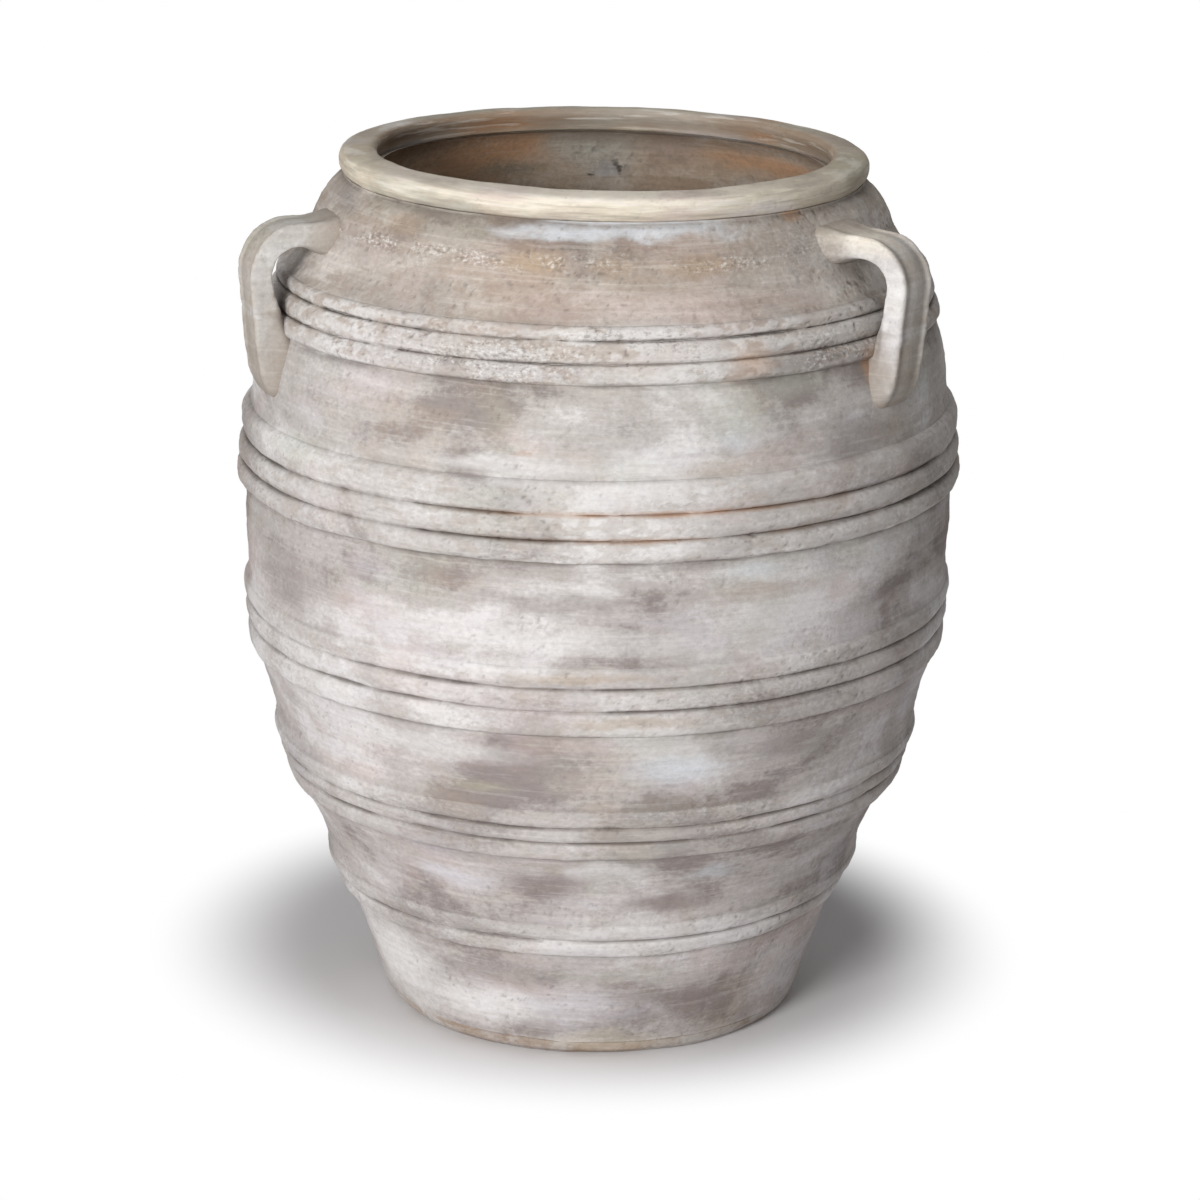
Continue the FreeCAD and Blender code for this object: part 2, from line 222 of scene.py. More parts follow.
clayRelief = {
    "wobble": 0.0022,      # how far the whole wall wanders in and out
    "sway": 0.0024,        # how far bands and edges wander up and down
    "swayLevels": ((0.02, 0.1), (0.8, 0.7)),  # where it fades in, and where it fades out
    "lean": 0.015,         # how much higher the bands run on the right, per metre
    "leanLevels": ((0.04, 0.12), (0.745, 0.69)),
    "lump": 0.0013,
    "streak": 0.0007,      # marks of the wet brush, all round the jar
    "pit": 0.0013,
    "pitShares": (0.55, 0.45),  # pits in patches everywhere, and pits where clay flakes
    "flake": 0.0006,       # where the skin of lime has come off
    "fillTone": 250,       # how quickly a groove that fills up loses its soil and painted shade
    "sharpAngle": 62,      # edges sharper than this aren't shaded smooth, in degrees
}
clayPatterns = {  # scale, detail, seed, roughness, and from where to where a pattern shows
    "wobble": ((3.4, 3.4, 2.2), 1.0, 1, 0.55, 0.25, 0.75),
    "lump": ((17, 17, 26), 2.0, 3, 0.55, 0.75, 0.25),
    "streak": ((9, 9, 110), 2.5, 4, 0.55, 0.7, 0.3),
    "grit": (190, 2.0, 5, 0.55, 0.60, 0.70),
    "gritPatch": ((9, 9, 14), 3.0, 6, 0.55, 0.44, 0.62),
    "flakePatch": ((11, 11, 40), 3.0, 7, 0.55, 0.40, 0.58),
    "flake": ((60, 60, 95), 4.0, 8, 0.62, 0.49, 0.53),
    "filled": ((10, 10, 22), 3.0, 9, 0.55, 0.50, 0.64),
}
swayNoise = ((4.2, 4.2, 1.3), 1.5, 2)  # scale, detail and seed
rowMarks = ("work", "soilAndShade", "fill", "inner")  # what each point of a half section carries


def newTree(name, inputs):
    # a geometry tree that makes one piece; inputs: the names and kinds of its sockets
    tree = bpy.data.node_groups.new(name, "GeometryNodeTree")
    for label, kind in inputs.items():
        tree.interface.new_socket(label, in_out="INPUT", socket_type="NodeSocket" + kind)
    tree.interface.new_socket("Piece", in_out="OUTPUT", socket_type="NodeSocketGeometry")
    g = Graph(tree)
    given = g.add("NodeGroupInput")
    return g, [given.out(number) for number in range(len(inputs))]


def endTree(g, piece, clay):
    piece = g.add("GeometryNodeRealizeInstances", None, {"Geometry": piece})
    piece = g.add("GeometryNodeSetMaterial", None, {"Geometry": piece, "Material": clay})
    g.add("NodeGroupOutput", None, {0: piece})
    return g.tree


def buildTurnedTree():
    g, given = newTree("turnedClay", {
        "Half Section": "Geometry", "Columns": "Int", "Closed": "Int", "Flaking": "Float",
        "Relief": "Float", "Clay": "Material"})
    section, columns, closed, flaking, relief, clay = given
    rows = g.add("GeometryNodeAttributeDomainSize", {"component": "MESH"}, {0: section})
    gridRows = rows + closed
    grid = g.add("GeometryNodeMeshGrid", None, {
        "Size X": 1.0, "Size Y": 1.0, "Vertices X": columns + 1, "Vertices Y": gridRows})
    index = g.add("GeometryNodeInputIndex")
    column = g.add("ShaderNodeMath", {"operation": "FLOOR"}, {0: index / gridRows})
    row = (index - column * gridRows) % rows
    place = g.sample(section, g.add("GeometryNodeInputPosition"), row, "FLOAT_VECTOR")
    radius = g.part(place, 0)
    angle = column * math.tau / columns
    cosine = g.add("ShaderNodeMath", {"operation": "COSINE"}, {0: angle})
    sine = g.add("ShaderNodeMath", {"operation": "SINE"}, {0: angle})
    turned = g.joined(radius * cosine, radius * sine, radius.out(2))
    piece = grid
    for name in rowMarks:
        piece = g.carry(piece, name, g.sample(section, g.carried(name), row))
    piece = g.add("GeometryNodeSetPosition", None, {"Geometry": piece, "Position": turned})
    piece = g.add("GeometryNodeMergeByDistance", None, {"Geometry": piece, "Distance": seamWeld})
    return endTree(g, workSurface(g, piece, relief, flaking), clay)


def workSurface(g, piece, relief, flaking):
    # the same wandering for every piece, so that nothing opens up, then what shows in the surface
    r = clayRelief
    place = g.add("GeometryNodeInputPosition")
    across, height = g.part(place, 0), g.part(place, 2)
    outward = g.vector("NORMALIZE", g.vector("MULTIPLY", place, (1, 1, 0)))
    work, fill = g.carried("work"), g.carried("fill")
    show = {}
    for key, (scale, detail, seed, rough, low, high) in clayPatterns.items():
        show[key] = g.noise(place, scale, detail, seed, rough).fade(low, high)
    inward = 0 - show["wobble"] * r["wobble"]
    fadeIn, fadeOut = r["swayLevels"]
    swayFade = height.fade(*fadeIn) * height.fade(*fadeOut)
    sway = (g.noise(place, *swayNoise) - 0.5) * r["sway"] * swayFade
    fadeIn, fadeOut = r["leanLevels"]
    sway = sway + across * r["lean"] * height.fade(*fadeIn) * height.fade(*fadeOut)
    inPatches, inFlakes = r["pitShares"]
    pit = show["grit"] * (show["gritPatch"] * inPatches + flaking * inFlakes)
    flake = show["flake"] * show["flakePatch"] * flaking
    filled = show["filled"] * fill
    lowered = show["lump"] * r["lump"] + show["streak"] * r["streak"]
    raised = filled - (lowered + pit * r["pit"] + flake * r["flake"]) * work * relief
    offset = g.vector("MULTIPLY_ADD", outward, g.joined(inward, inward), g.joined(z=sway))
    normal = g.add("GeometryNodeInputNormal")
    worked = g.vector("MULTIPLY", normal, g.joined(raised, raised, raised))
    offset = g.vector("ADD", offset, worked)
    values = {"pit": pit * work, "flake": flake * work, "filled": filled * r["fillTone"]}
    for name, value in values.items():
        piece = g.carry(piece, name, value)
    piece = g.add("GeometryNodeSetPosition", None, {"Geometry": piece, "Offset": offset})
    piece = g.add("GeometryNodeSetShadeSmooth", {"domain": "FACE"}, {
        "Geometry": piece, "Shade Smooth": True})
    angle = g.add("GeometryNodeInputMeshEdgeAngle")
    sharp = g.add("FunctionNodeCompare", {"data_type": "FLOAT", "operation": "GREATER_THAN"}, {
        0: angle, 1: math.radians(r["sharpAngle"])})
    return g.add("GeometryNodeSetShadeSmooth", {"domain": "EDGE"}, {
        "Geometry": piece, "Selection": sharp, "Shade Smooth": False})


def giveInputs(modifier, tree, values):
    modifier.node_group = tree
    for item in tree.interface.items_tree:
        if item.item_type == "SOCKET" and item.in_out == "INPUT" and item.name in values:
            modifier[item.identifier] = values[item.name]


def finishPiece(piece, nodeName):
    # the modifiers' result becomes the plain mesh, and the piece takes its node's place
    graph = bpy.context.evaluated_depsgraph_get()
    mesh = bpy.data.meshes.new_from_object(
        piece.evaluated_get(graph), preserve_all_data_layers=True, depsgraph=graph)
    mesh.name = piece.name
    piece.modifiers.clear()
    piece.data = mesh
    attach(piece, "root")
    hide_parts(nodeName)
    mesh.calc_loop_triangles()
    return len(mesh.loop_triangles)


def turnPiece(name, nodeName, rows, closed, settings, clay):
    # rows: radius and level of each point of the half section, then its row marks
    mesh = bpy.data.meshes.new(name + "Section")
    count = len(rows)
    edges = [(number, (number + 1) % count) for number in range(count - (not closed))]
    mesh.from_pydata([(row[0], 0, row[1]) for row in rows], edges, [])
    for column, key in enumerate(rowMarks, start=2):
        carryValues(mesh, key, rows[:, column])
    piece = addObject(name, mesh)
    giveInputs(piece.modifiers.new("turn", "NODES"), turnedTree, {
        "Columns": settings["columns"], "Closed": int(closed), "Flaking": settings["flaking"],
        "Relief": settings["relief"], "Clay": clay})
    return finishPiece(piece, nodeName)


plainWall = {
    "columns": 1000,
    "outerStep": 0.0021,  # spacing of the rows on the outer face
    "innerStep": 0.006,
    "corners": 12,        # passes that round the corners
    "flaking": 0.1,
    "relief": 1.0,
    "worked": 1.0,        # share of the relief that every part of the piece takes
    "oneRun": False,      # outer and inner face in one run of rows
}
wallPieces = {  # where each piece differs from a plain wall
    "base_disc": {"columns": 640, "outerStep": 0.0025, "corners": 2, "flaking": 0.4,
                  "relief": 0.8, "oneRun": True},
    "foot_wall": {"columns": 900, "flaking": 0.25},
    "lower_wall": {},
    "middle_wall": {},
    "belly_wall": {"outerStep": 0.0025},
    "upper_wall": {"flaking": 0.2},
    "shoulder_wall": {"outerStep": 0.0019, "innerStep": 0.004, "corners": 14, "flaking": 0.75,
                      "relief": 1.1},
    "rim": {"columns": 900, "outerStep": 0.0017, "flaking": 0.0, "relief": 1.6, "worked": 0.5,
            "oneRun": True},
}
wallRun = {
    "hiddenSlope": 0.88,  # faces that look up or down more than this are out of sight
    "hiddenStep": 0.012,
    "fineStep": 0.001,    # spacing while the corners are rounded
    "work": {"hidden": 0.0, "outer": 1.0, "inner": 0.8},
    "leastWall": 0.008,   # the inner face lies at least this far inside the outer one
}
bandFillet = {
    "height": 0.0034,
    "reach": 0.007,
    "overlap": 0.006,     # how far below a band's upper edge it starts
    "dirtAndShadeReach": 0.003,
    "dirtAbove": 0.3,     # how dark the dust along a band's upper edge is, as a share of the painted shadow under it
}
rimTop = {
    "depth": 0.012,
    "flatness": 0.55,     # how flat the potter's hand has pressed the top, 1 for not at all
    "lap": 0.006,         # how far the throat's clay is smeared over the seam inside
    "sink": 0.0004,       # how far the lap's end goes into the wall
    "opening": 1.9,       # how late the throat widens towards the neck
    "rounding": 5,        # passes that round it all again
    "insideReach": 0.006,  # how far in from the crest it looks as the inside does
}


def liningPoints():  # levels and radii of the shoulder's inner face
    outline, _ = halfSection("shoulder_wall")
    inside = outline[outline[:, 0] < wallRadiusAt(outline[:, 1]) - wallRun["leastWall"]]
    return inside[inside[:, 1].argsort()].T[::-1]


def faceKinds(outline, oneRun):
    steps = np.diff(outline, axis=0)
    outward = np.column_stack([steps[:, 1], -steps[:, 0]]) / np.hypot(*steps.T)[:, None]
    slope = wallRun["hiddenSlope"]
    kinds = []
    for normal in outward:
        if normal[1] < -slope or (normal[1] > slope and not oneRun):
            kinds.append("hidden")
        else:
            kinds.append("outer" if normal[0] > 0 or oneRun else "inner")
    return kinds


def fillBandEdges(run):  # smears clay along the bands' upper edges; returns each point's soil and shade: painted shadow along the underside of each band and of the rim, and dust along the upper edges
    soilAndShade = np.zeros(len(run))
    for low, high in bandLevels:
        under, over = low - run[:, 1], run[:, 1] - high
        dirtAbove = np.exp(-np.abs(over) / bandFillet["dirtAndShadeReach"]) * bandFillet["dirtAbove"]
        soilAndShade = np.maximum(soilAndShade, np.exp(-np.abs(under) / bandFillet["dirtAndShadeReach"]))
        soilAndShade = np.maximum(soilAndShade, dirtAbove)
        swell = np.exp(-np.maximum(over, 0) / bandFillet["reach"]) * bandFillet["height"]
        run[:, 0] += swell * (over > -bandFillet["overlap"])
    return soilAndShade


def shapeRim(run):  # the pressed top and the smeared throat, and which points are the inside's
    share = np.clip((run[:, 1] - run[:, 1].max()) / rimTop["depth"] + 1, 0, 1)
    run[:, 1] += (share ** rimTop["flatness"] - share) * rimTop["depth"]
    crest = run[:, 1].argmax()
    mouth, neck = run[:, 0].min(), run[-1, 1]
    share = np.clip((run[crest, 1] - run[crest:, 1]) / (run[crest, 1] - neck), 0, 1)
    end = np.interp(neck - rimTop["lap"], *liningPoints()) + rimTop["sink"]
    wide = mouth + (end - mouth) * share ** rimTop["opening"]
    run[crest:, 0] = np.maximum(run[crest:, 0], wide)
    run[crest:, 1] -= rimTop["lap"] * share
    run = soften(run, rimTop["rounding"])
    inner = np.zeros(len(run))
    inner[crest:] = np.clip((run[crest, 0] - run[crest:, 0]) / rimTop["insideReach"], 0, 1)
    return run, inner


def wallRows(name, settings):
    outline, isOpen = halfSection(name)
    if isOpen:  # a disc: closed on the axis
        outline = np.vstack([(0, outline[0][1]), outline, (0, outline[-1][1])])
    else:
        outline = np.vstack([outline, outline[:1]])
    kinds = faceKinds(outline, settings["oneRun"])
    if not isOpen:  # start where a new kind of face starts
        start = next(n for n in range(len(kinds)) if kinds[n] != kinds[n - 1])
        kinds = kinds[start:] + kinds[:start]
        outline = np.vstack([outline[start:-1], outline[:start + 1]])
    rows = []
    first = 0
    for number in range(1, len(kinds) + 1):
        if number < len(kinds) and kinds[number] == kinds[first]:
            continue
        kind = kinds[first]
        run = outline[first:number + 1]
        if kind == "hidden":
            run = respace(run, wallRun["hiddenStep"])
        else:
            run = soften(respace(run, wallRun["fineStep"]), settings["corners"])
            run = respace(run, settings[kind + "Step"])
        work = np.full(len(run), wallRun["work"][kind] * settings["worked"])
        soilAndShade = np.zeros(len(run))
        inner = np.full(len(run), float(kind == "inner"))
        if kind == "outer" and not settings["oneRun"]:
            soilAndShade = fillBandEdges(run)
        if name == "rim":
            run, inner = shapeRim(run)
        rows.append(np.column_stack([run, work, soilAndShade, work * 0, inner])[:-1])
        first = number
    if isOpen:
        rows.append([[0, outline[-1][1], 1, 0, 0, 1]])
    return np.vstack(rows), not isOpen


ropePieces = {  # crest: how square the crest is; web: how shallow the grooves are, as a share
    "foot": {"crest": 2.6, "web": 0.2, "flaking": 0.45},
    "lower": {"crest": 2.6, "web": 0.25, "flaking": 0.4},
    "middle": {"crest": 2.6, "web": 0.3, "flaking": 0.45},
    "belly": {"crest": 2.6, "web": 0.4, "flaking": 0.55},
    "shoulder": {"crest": 2.4, "web": 0.4, "flaking": 1.0},
}
ropeShape = {
    "columns": 1000,
    "step": 0.0016,
    "relief": 1.0,
    "sink": 0.0025,         # how far the back reaches into the wall
    "flank": 0.85,          # how square the crest is towards the next rope
    "work": (1.25, 0.9),    # relief on the crest, and how much less of it in the grooves
    "leastWork": 0.2,
    "soilAndShadeFrom": 0.78,       # from here on soil and painted shade lie towards the grooves, as a share
    "soilAndShadeReach": 0.2,
    "topSoilAndShade": 0.35,        # how much of it lies along a band's upper edge
    "fillFrom": 0.2,        # how deep a groove starts to fill up, as a share
    "fillShare": 0.5,
}


def ropeRows(name, settings, isLowest, isHighest):
    r = ropeShape
    outline, _ = halfSection(name)
    low, high = outline[outline[:, 1].argmin()], outline[outline[:, 1].argmax()]
    along = (high - low) / np.hypot(*(high - low))
    away = np.array([along[1], -along[0]])
    stand = ((outline - low) @ away).max()
    share = np.sin(np.linspace(-1, 1, 121) * math.pi / 2)  # closer together near the grooves
    web = np.where(share < 0, 0.0 if isLowest else settings["web"],
                   0.0 if isHighest else settings["web"])
    closed = np.where(share < 0, isLowest, isHighest)  # towards the wall the rope is round
    power = settings["crest"]
    roundness = np.where(closed, 1 / power, r["flank"])
    lift = web + (1 - web) * (1 - np.abs(share) ** power) ** roundness
    crest = low + np.outer((share + 1) / 2, high - low) + np.outer(lift * stand, away)
    crest = respace(crest, r["step"])
    depth = 1 - ((crest - low) @ away) / stand
    work = np.clip(r["work"][0] - depth * r["work"][1], r["leastWork"], 1)
    across = ((crest - low) @ along) / np.hypot(*(high - low)) * 2 - 1
    # soil and painted shade darken the rope towards the grooves
    soilAndShade = np.clip((np.abs(across) - r["soilAndShadeFrom"]) / r["soilAndShadeReach"], 0, 1)
    soilAndShade[(across > 0) & isHighest] *= r["topSoilAndShade"]
    fill = np.clip(depth - r["fillFrom"], 0, 1) * stand * r["fillShare"]
    if isLowest:
        fill[crest[:, 1] < (low[1] + high[1]) / 2] = 0
    if isHighest:
        fill[crest[:, 1] > (low[1] + high[1]) / 2] = 0
    rows = np.column_stack([crest, work, soilAndShade, fill, fill * 0])
    back = [[*(point - away * r["sink"]), 0, 1, 0, 0] for point in (high, low)]
    return np.vstack([rows, back])


# Strap handles: the frame's straps, swollen where they are pressed onto the wall

handleClay = {
    "voxel": 0.0019,
    "smoothing": 8,
    "onWall": 0.0006,       # points nearer to the wall than this are the roots' faces
    "sink": 0.010,          # how far the roots reach into the wall
    "blending": 15,         # passes that blend the roots into it
    "blendPower": 0.6,      # how quickly that fades away from the wall
    "flare": 0.008,         # how far the pressed clay spreads at the wall
    "flareReach": 0.024,    # how far out from the wall the spreading starts
    "flarePower": 3,
    "tuck": 0.0030,         # how far its edge is pressed into the wall
    "tuckPower": 10,
    "grooveDirtAndShade": 1500,     # how quickly a hollow turns dark, with dirt and painted shade
    "rootTone": 0.022,      # how far out from the wall the roots take painted shade
    "rootPower": 0.6,
    "work": (0.3, 3),       # relief at the wall, and how quickly it grows away from it
    "relief": 0.8,
    "flaking": 0.3,
}


def buildHandleTree():
    g, given = newTree("pressedClay", {
        "Strap": "Geometry", "Flaking": "Float", "Relief": "Float", "Clay": "Material"})
    strap, flaking, relief, clay = given
    return endTree(g, workSurface(g, strap, relief, flaking), clay)


def wallSlopeAt(levels):  # how fast the wall's radius grows with its level
    reach = 0.008
    return (wallRadiusAt(levels + reach) - wallRadiusAt(levels - reach)) / (2 * reach)


def wallRadiusAt(levels):
    # the outer wall's radius at some levels, between the belly band and the rim
    points = []
    slack = 0.03  # the outer face lies no further in than this from the middle
    for name in ("belly_wall", "upper_wall", "shoulder_wall"):
        outline, _ = halfSection(name)
        middle = outline[:, 0].mean()
        steps = np.roll(outline, -1, axis=0) - outline
        isOuter = (steps[:, 1] > 0) & (outline[:, 0] > middle - slack)
        points.extend(outline[isOuter])
        points.extend(np.roll(outline, -1, axis=0)[isOuter])
    points = np.array(sorted(points, key=lambda point: point[1]))
    return np.interp(levels, points[:, 1], points[:, 0])


def readPoints(mesh, key="co"):
    values = np.zeros(len(mesh.vertices) * 3, np.float32)
    mesh.vertices.foreach_get(key, values)
    return values.reshape(-1, 3).astype(float)


def readLinks(mesh):  # the two ends of each edge, both ways round
    ends = np.zeros(len(mesh.edges) * 2, np.int32)
    mesh.edges.foreach_get("vertices", ends)
    ends = ends.reshape(-1, 2)
    return np.vstack([ends, ends[:, ::-1]])


def neighbourMean(links, points):
    count = np.bincount(links[:, 0], minlength=len(points))
    sums = [np.bincount(links[:, 0], points[links[:, 1], axis], len(points)) for axis in range(3)]
    return np.column_stack(sums) / count[:, None]


def hollowness(links, points, normals):  # how far each point lies below its neighbours, in metres
    below = np.zeros(len(points))
    for _ in range(3):
        mean = neighbourMean(links, points)
        below += ((mean - points) * normals).sum(axis=1)
        points = mean
    return below


def buildHandle(name, clay):
    h = handleClay
    strap = bmesh.new()
    strap.from_mesh(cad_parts[name].data)
    bmesh.ops.remove_doubles(strap, verts=strap.verts, dist=frameWeld)
    mesh = bpy.data.meshes.new(name)
    strap.to_mesh(mesh)
    strap.free()
    points = readPoints(mesh)
    radii = np.hypot(points[:, 0], points[:, 1])
    onWall = np.abs(radii - wallRadiusAt(points[:, 2])) < h["onWall"]
    points[onWall, :2] *= (1 - h["sink"] / radii[onWall])[:, None]
    mesh.vertices.foreach_set("co", points.astype(np.float32).ravel())
    piece = addObject(name + "Clay", mesh)
    remesh = piece.modifiers.new("clay", "REMESH")
    remesh.mode = "VOXEL"
    remesh.voxel_size = h["voxel"]
    smooth = piece.modifiers.new("thumbed", "SMOOTH")
    smooth.iterations = h["smoothing"]
    graph = bpy.context.evaluated_depsgraph_get()
    mesh = bpy.data.meshes.new_from_object(piece.evaluated_get(graph), depsgraph=graph)
    piece.modifiers.clear()
    piece.data = mesh
    pressHandle(mesh)
    giveInputs(piece.modifiers.new("press", "NODES"), handleTree, {
        "Flaking": h["flaking"], "Relief": h["relief"], "Clay": clay})
    return finishPiece(piece, name)


def pressHandle(mesh):
    # spreads the strap's roots on the wall, and gives each point what the clay reads
    h = handleClay
    points, normals = readPoints(mesh), readPoints(mesh, "normal")
    radii = np.hypot(points[:, 0], points[:, 1])
    outward = points * (1, 1, 0) / radii[:, None]
    outward[:, 2] = -wallSlopeAt(points[:, 2])
    length = np.hypot(1, outward[:, 2])
    outward /= length[:, None]
    stand = (radii - wallRadiusAt(points[:, 2])) / length
    gap = np.clip(stand / h["flareReach"], 0, 1)
    sideways = normals - outward * (normals * outward).sum(axis=1)[:, None]
    links = readLinks(mesh)
    hollow = hollowness(links, points, normals)
    points += sideways * (h["flare"] * (1 - gap) ** h["flarePower"])[:, None]
    pull = ((1 - gap) ** h["blendPower"])[:, None]
    for _ in range(h["blending"]):
        points += (neighbourMean(links, points) - points) * pull
    points -= outward * (h["tuck"] * (1 - gap) ** h["tuckPower"])[:, None]
    mesh.vertices.foreach_set("co", points.astype(np.float32).ravel())
    # dirt and painted shade in the strap's hollows
    dirtAndShade = np.clip(hollow * h["grooveDirtAndShade"], 0, 1) * gap ** 0.5
    leastWork, growth = h["work"]
    values = {"work": np.clip(gap * growth + leastWork, 0, 1), "soilAndShade": dirtAndShade, "fill": gap * 0,
              "wallward": np.clip(1 - stand / h["rootTone"], 0, 1) ** h["rootPower"],
              "outer": np.clip((normals * outward).sum(axis=1), 0, 1) ** 2 * gap}
    for key, value in values.items():
        carryValues(mesh, key, value)


# Materials

tones = {  # linear colours
    "white": (0.80, 0.785, 0.775),
    "lime": (0.68, 0.665, 0.655),
    "chalk": (0.47, 0.44, 0.42),
    "mauve": (0.28, 0.248, 0.235),
    "plum": (0.26, 0.215, 0.205),
    "mist": (0.70, 0.69, 0.62),
    "brown": (0.33, 0.25, 0.195),
    "orange": (0.52, 0.30, 0.17),
    "amber": (0.74, 0.455, 0.28),
    "ochre": (0.41, 0.315, 0.23),
    "rust": (0.40, 0.20, 0.11),
    "tan": (0.40, 0.345, 0.27),
    "umber": (0.16, 0.105, 0.07),
    "butter": (0.82, 0.755, 0.645),
    "cream": (0.72, 0.655, 0.53),
    "pink": (0.55, 0.445, 0.41),
    "sky": (0.64, 0.665, 0.70),
    "green": (0.48, 0.49, 0.425),
    "olive": (0.40, 0.37, 0.28),
    "lilac": (0.60, 0.575, 0.60),
    "soilAndShade": (0.13, 0.11, 0.095),
    "sand": (0.66, 0.51, 0.38),           # bare clay inside the mouth, dark and pale
    "parchment": (0.86, 0.78, 0.68),
    "rootShade": (0.30, 0.255, 0.215),     # painted shade where a handle meets the wall
    "strapDirt": (0.40, 0.345, 0.285),    # on the outer face of a strap
    "scabPale": (0.74, 0.73, 0.71),
    "scabDark": (0.17, 0.145, 0.125),
    "brushDark": (0.36, 0.31, 0.26),
    "brushPale": (0.80, 0.76, 0.70),
    "rimLow": (0.46, 0.40, 0.33),
    "rimMid": (0.61, 0.545, 0.44),
    "strapLow": (0.38, 0.35, 0.32),
    "strapMid": (0.50, 0.48, 0.45),
    "strapHigh": (0.66, 0.65, 0.63),
}
casts = {  # what the colours are multiplied by
    "warm": (0.84, 0.79, 0.73),
    "cool": (0.96, 0.94, 0.95),
    # painted shade for the rim's inner face, so that it reads as dark as the shaded inside
    "throat": (0.52, 0.50, 0.48),
}

# Stains, and some patches of painted shade and highlight: angle in degrees from +X, level, half
# width, half height, tone and strength
wallStainsAndPaintedShade = [
    (-134, 0.758, 0.026, 0.010, "ochre", 0.5), (-103, 0.741, 0.040, 0.012, "ochre", 0.95),
    (-86, 0.742, 0.026, 0.009, "ochre", 0.6), (-71, 0.742, 0.044, 0.012, "ochre", 0.95),
    (-46, 0.730, 0.060, 0.030, "chalk", 0.5), (-98, 0.769, 0.080, 0.009, "sky", 0.9),
    (-76, 0.770, 0.100, 0.009, "sky", 0.9), (-48, 0.777, 0.024, 0.010, "orange", 0.75),
    (-84, 0.712, 0.170, 0.018, "pink", 0.5), (-157, 0.766, 0.060, 0.014, "mauve", 0.7),
    (-92, 0.687, 0.060, 0.010, "lime", 0.6), (-77, 0.690, 0.050, 0.010, "lime", 0.5),
    (-65, 0.668, 0.024, 0.022, "orange", 0.5), (-39, 0.646, 0.016, 0.026, "orange", 0.7),
    (-58, 0.645, 0.040, 0.016, "green", 0.5), (-106, 0.625, 0.022, 0.020, "olive", 0.35),
    (-101, 0.592, 0.010, 0.006, "rust", 0.6), (-104, 0.580, 0.080, 0.012, "lime", 0.7),
    (-68, 0.620, 0.040, 0.030, "green", 0.45), (-68, 0.600, 0.024, 0.014, "sky", 0.4),
    (-73, 0.580, 0.046, 0.012, "ochre", 0.35), (-46, 0.588, 0.050, 0.024, "mauve", 0.7),
    # -36 at 0.595: brown painted shadow under the right handle's lower end
    (-36, 0.595, 0.040, 0.024, "brown", 0.5), (-145, 0.560, 0.040, 0.014, "green", 0.5),
    (-148, 0.440, 0.050, 0.034, "mauve", 0.6), (-94, 0.466, 0.080, 0.012, "mauve", 0.55),
    (-64, 0.471, 0.050, 0.011, "brown", 0.5), (-65, 0.491, 0.030, 0.009, "sky", 0.5),
    (-112, 0.422, 0.022, 0.009, "olive", 0.25), (-97, 0.432, 0.140, 0.012, "lime", 0.6),
    (-92, 0.403, 0.060, 0.008, "ochre", 0.7), (-84, 0.360, 0.050, 0.008, "ochre", 0.6),
    (-119, 0.322, 0.110, 0.014, "lime", 0.65), (-77, 0.311, 0.050, 0.016, "sky", 0.75),
    (-55, 0.322, 0.080, 0.016, "mauve", 0.6), (-110, 0.286, 0.032, 0.009, "olive", 0.5),
    (-135, 0.274, 0.050, 0.012, "pink", 0.5), (-117, 0.186, 0.055, 0.015, "lilac", 0.95),
    (-98, 0.189, 0.044, 0.018, "plum", 0.9), (-86, 0.209, 0.050, 0.009, "lime", 0.6),
    (-75, 0.170, 0.062, 0.013, "plum", 0.85), (-66, 0.197, 0.036, 0.012, "sky", 0.5),
    (-95, 0.052, 0.100, 0.030, "lilac", 0.75), (-106, 0.070, 0.060, 0.012, "pink", 0.4),
    (-146, 0.062, 0.110, 0.055, "white", 0.85), (-118, 0.045, 0.090, 0.024, "white", 0.7),
    (-64, 0.056, 0.032, 0.024, "plum", 0.9), (-85, 0.016, 0.110, 0.012, "cream", 0.35),
    (-112, 0.082, 0.085, 0.016, "mauve", 0.55),
]
insideStainsAndPaintedShade = [
    (116, 0.762, 0.110, 0.034, "amber", 1.0), (120, 0.784, 0.080, 0.012, "amber", 0.9),
    # 156 at 0.765: umber painted shadow of the rim on the left of the inside
    (156, 0.765, 0.110, 0.060, "umber", 0.6),
    (112, 0.738, 0.060, 0.010, "olive", 0.6), (92, 0.765, 0.075, 0.032, "mist", 0.85),
    (74, 0.766, 0.050, 0.030, "pink", 0.5), (46, 0.786, 0.040, 0.010, "amber", 0.9),
    (46, 0.752, 0.120, 0.020, "amber", 1.0), (52, 0.735, 0.060, 0.010, "ochre", 0.5),
    (89, 0.737, 0.030, 0.010, "sky", 0.7),
    (94, 0.736, 0.006, 0.012, "soilAndShade", 0.95), (86, 0.738, 0.006, 0.013, "soilAndShade", 0.95),
]
rimStains = [
    (-140, 0.799, 0.080, 0.006, "pink", 0.5), (-13, 0.797, 0.090, 0.020, "olive", 0.55),
    (-172, 0.792, 0.060, 0.012, "ochre", 0.3), (-55, 0.782, 0.060, 0.008, "lilac", 0.5),
    (47, 0.796, 0.050, 0.010, "orange", 0.5), (-100, 0.786, 0.120, 0.008, "cream", 0.6),
    (-92, 0.797, 0.280, 0.012, "butter", 0.85), (-74, 0.798, 0.060, 0.004, "pink", 0.6),
    (-112, 0.796, 0.050, 0.005, "pink", 0.6), (-58, 0.792, 0.050, 0.006, "olive", 0.35),
]
